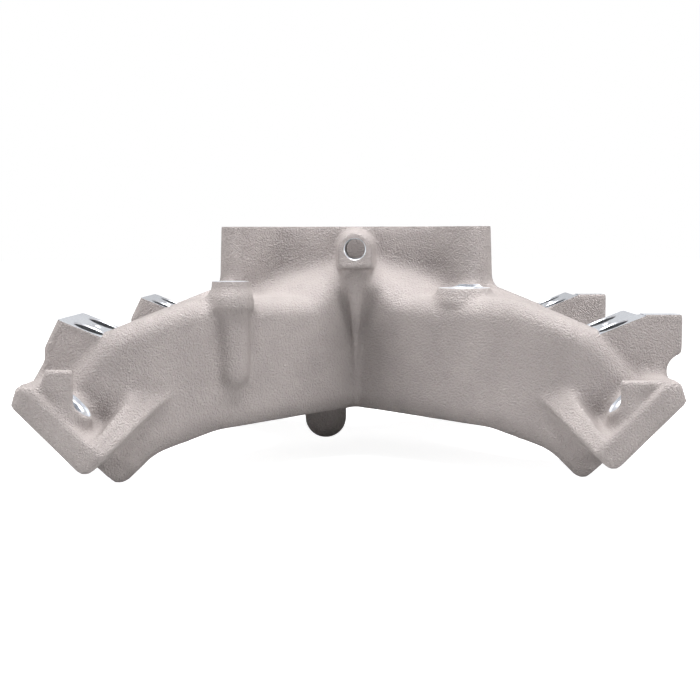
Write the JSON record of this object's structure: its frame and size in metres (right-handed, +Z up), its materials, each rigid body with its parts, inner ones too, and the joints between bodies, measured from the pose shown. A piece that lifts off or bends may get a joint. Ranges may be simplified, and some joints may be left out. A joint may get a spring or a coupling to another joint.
{
  "type": "intake manifold",
  "caption": "Cast single-plane V-engine intake manifold with a four-barrel carburettor pad, splayed runners, injector pads and angled head flanges.",
  "frame": {"origin": "centre of the carburettor stud pattern, on the machined top face of the pad", "axes": "+Z up out of the carburettor pad; the crankshaft runs along Y with the front of the engine at -Y; +X is the right bank seen from the front"},
  "size_m": [0.3628, 0.41, 0.1438],
  "materials": {
    "cast_aluminium": "as cast, with machined faces"
  },
  "bodies": {
    "root": {"carburettor_flange": "cast_aluminium", "plenum_shoulder": "cast_aluminium", "plenum_chamber": "cast_aluminium", "runner_left_front_outer": "cast_aluminium", "runner_left_front_inner": "cast_aluminium", "runner_left_rear_outer": "cast_aluminium", "runner_left_rear_inner": "cast_aluminium", "runner_right_front_outer": "cast_aluminium", "runner_right_front_inner": "cast_aluminium", "runner_right_rear_outer": "cast_aluminium", "runner_right_rear_inner": "cast_aluminium", "head_flange_left_front": "cast_aluminium", "head_flange_left_rear": "cast_aluminium", "head_flange_right_front": "cast_aluminium", "head_flange_right_rear": "cast_aluminium", "head_rail_left": "cast_aluminium", "head_rail_right": "cast_aluminium", "injector_pad_left_front": "cast_aluminium", "injector_pad_left_rear": "cast_aluminium", "injector_pad_right_front": "cast_aluminium", "injector_pad_right_rear": "cast_aluminium", "bracket_post_right_front": "cast_aluminium", "bracket_post_right_rear": "cast_aluminium", "end_lug_left_front": "cast_aluminium", "end_lug_left_rear": "cast_aluminium", "end_lug_right_front": "cast_aluminium", "end_lug_right_rear": "cast_aluminium", "vacuum_boss": "cast_aluminium", "front_seam_rib": "cast_aluminium", "sensor_post": "cast_aluminium", "pipe_boss": "cast_aluminium", "underside_boss": "cast_aluminium"}
  },
  "joints": []
}
